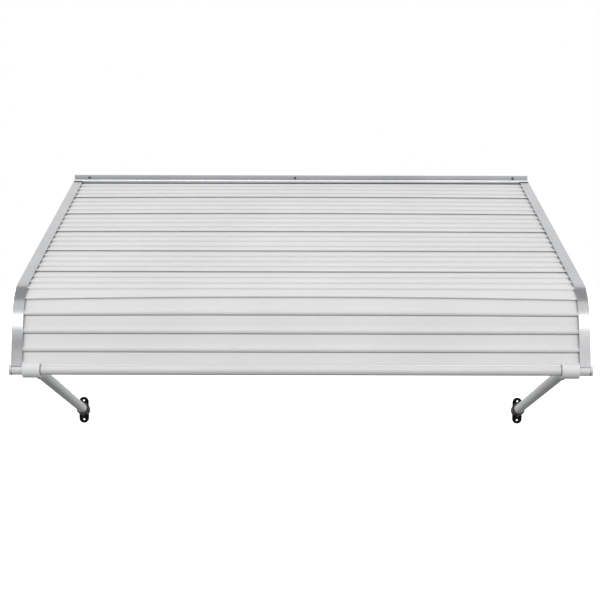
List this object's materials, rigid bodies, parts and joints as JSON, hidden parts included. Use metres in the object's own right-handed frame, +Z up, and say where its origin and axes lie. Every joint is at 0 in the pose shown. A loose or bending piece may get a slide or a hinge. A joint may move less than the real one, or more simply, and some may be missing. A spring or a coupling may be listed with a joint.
{
  "type": "aluminium door canopy",
  "caption": "Fixed aluminium door canopy with stepped roof pans, bent side frames, a wall header, a round front bar and two tube arms with wall brackets.",
  "frame": {"origin": "centre of the wall header's back face, on the wall plane", "axes": "+X along the wall to the right seen from the front, +Y into the wall, +Z up; the canopy stands out towards -Y"},
  "size_m": [1.5386, 1.1108, 0.8515],
  "materials": {
    "pan_paint": "satin",
    "mill_aluminium": "satin",
    "bar_paint": "satin",
    "collar_paint": "satin",
    "arm_aluminium": "satin",
    "bracket_black": "satin",
    "bushing_black": "matte",
    "screw_steel": "satin"
  },
  "bodies": {
    "canopy": {"wall_header": "mill_aluminium", "header_screw_left": "screw_steel", "header_screw_middle": "screw_steel", "header_screw_right": "screw_steel", "side_frame_left": "mill_aluminium", "side_frame_right": "mill_aluminium", "frame_screw_left": "screw_steel", "frame_screw_right": "screw_steel", "roof_pan_1": "pan_paint", "roof_pan_2": "pan_paint", "roof_pan_3": "pan_paint", "roof_pan_4": "pan_paint", "roof_pan_5": "pan_paint", "roof_pan_6": "pan_paint", "front_pan": "pan_paint", "front_bar": "bar_paint", "bar_end_cap_left": "collar_paint", "bar_end_cap_right": "collar_paint"},
    "arm_left": {"arm_collar_left": "collar_paint", "collar_screw_left": "screw_steel", "support_arm_left": "arm_aluminium", "wall_bracket_left": "bracket_black", "bracket_screw_left": "screw_steel", "arm_bushing_left": "bushing_black"},
    "arm_right": {"arm_collar_right": "collar_paint", "collar_screw_right": "screw_steel", "support_arm_right": "arm_aluminium", "wall_bracket_right": "bracket_black", "bracket_screw_right": "screw_steel", "arm_bushing_right": "bushing_black"}
  },
  "joints": [
    {"name": "left_arm_swing", "type": "hinge", "parent": "canopy", "child": "arm_left", "pos_m": [-0.709, -1.08981, -0.44113], "axis": [1, 0, 0], "range_deg": [-70, 25]},
    {"name": "right_arm_swing", "type": "hinge", "parent": "canopy", "child": "arm_right", "pos_m": [0.709, -1.08981, -0.44113], "axis": [1, 0, 0], "range_deg": [-70, 25]}
  ]
}
